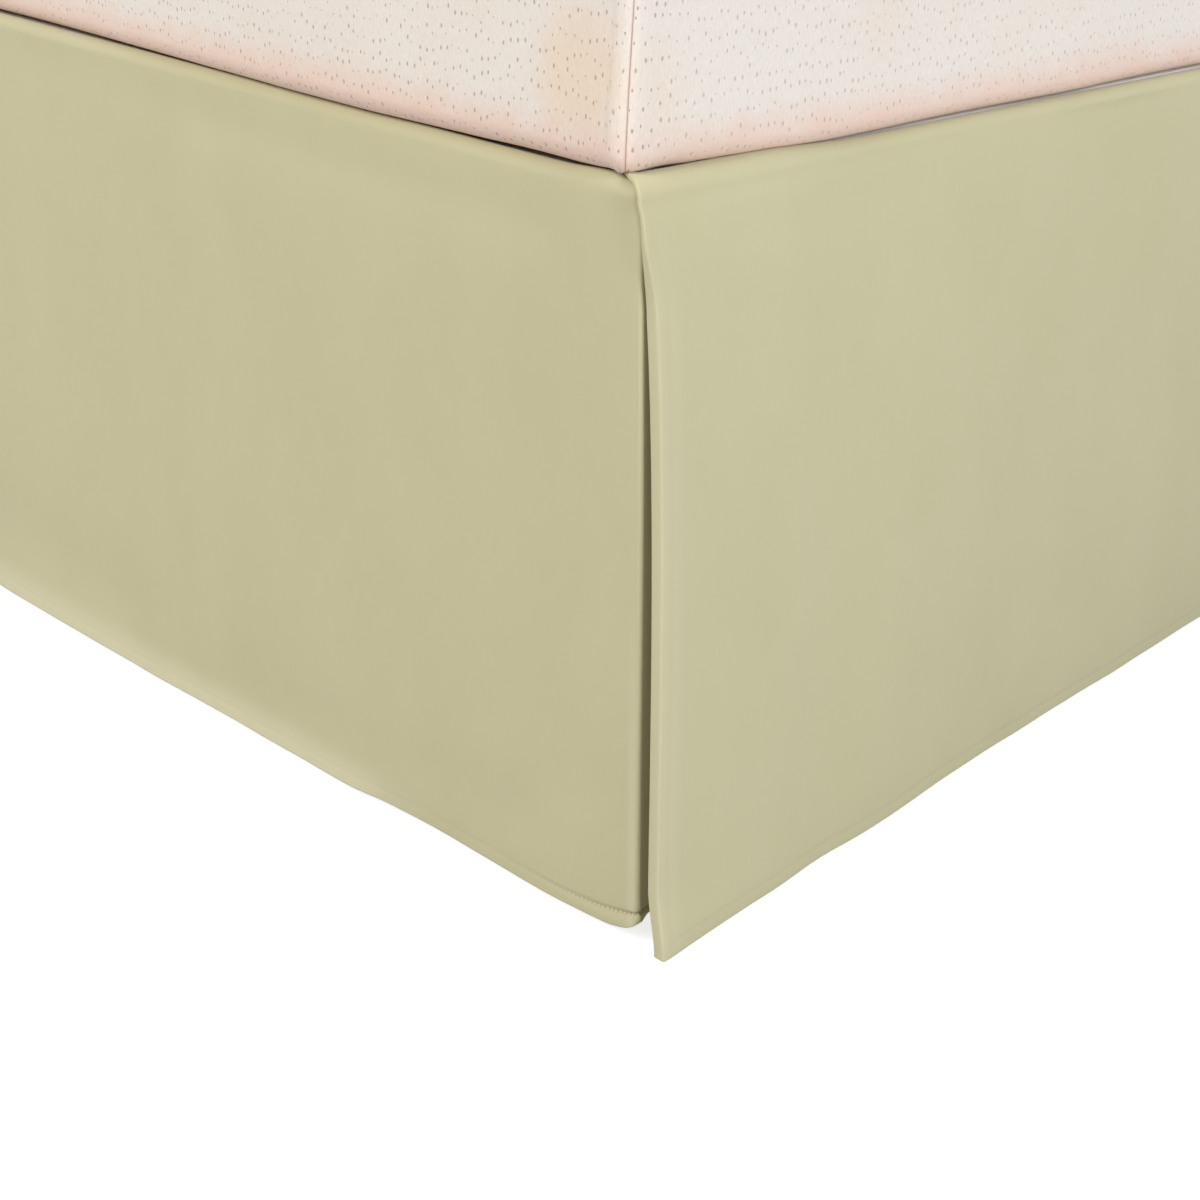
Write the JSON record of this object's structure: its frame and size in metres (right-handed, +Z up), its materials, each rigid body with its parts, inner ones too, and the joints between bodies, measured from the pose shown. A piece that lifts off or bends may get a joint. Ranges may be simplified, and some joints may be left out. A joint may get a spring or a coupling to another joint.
{
  "type": "bed skirt on a bed with mattress and foundation",
  "caption": "Tailored bed skirt with pleated foot corners, hung between a plain mattress and the bed foundation that it hides.",
  "frame": {"origin": "on the floor, under the middle of the whole outline", "axes": "+Z up; +X towards the right side of the bed and +Y towards its head, so that the foot faces -Y"},
  "size_m": [1.5955, 2.0658, 0.6366],
  "materials": {
    "skirt_fabric": "sage green woven microfibre, matt with a faint sheen",
    "deck_fabric": "white lightweight backing cloth",
    "ticking": "cream and peach knitted ticking",
    "base_fabric": "plain beige woven cloth over a frame",
    "wood": "plain satin wood"
  },
  "bodies": {
    "root": {"skirt_foot_drop": "skirt_fabric", "skirt_side_drop_left": "skirt_fabric", "skirt_side_drop_right": "skirt_fabric", "skirt_deck": "deck_fabric", "mattress": "ticking", "foundation": "base_fabric", "leg_foot_left": "wood", "leg_middle_left": "wood", "leg_head_left": "wood", "leg_foot_right": "wood", "leg_middle_right": "wood", "leg_head_right": "wood"}
  },
  "joints": []
}
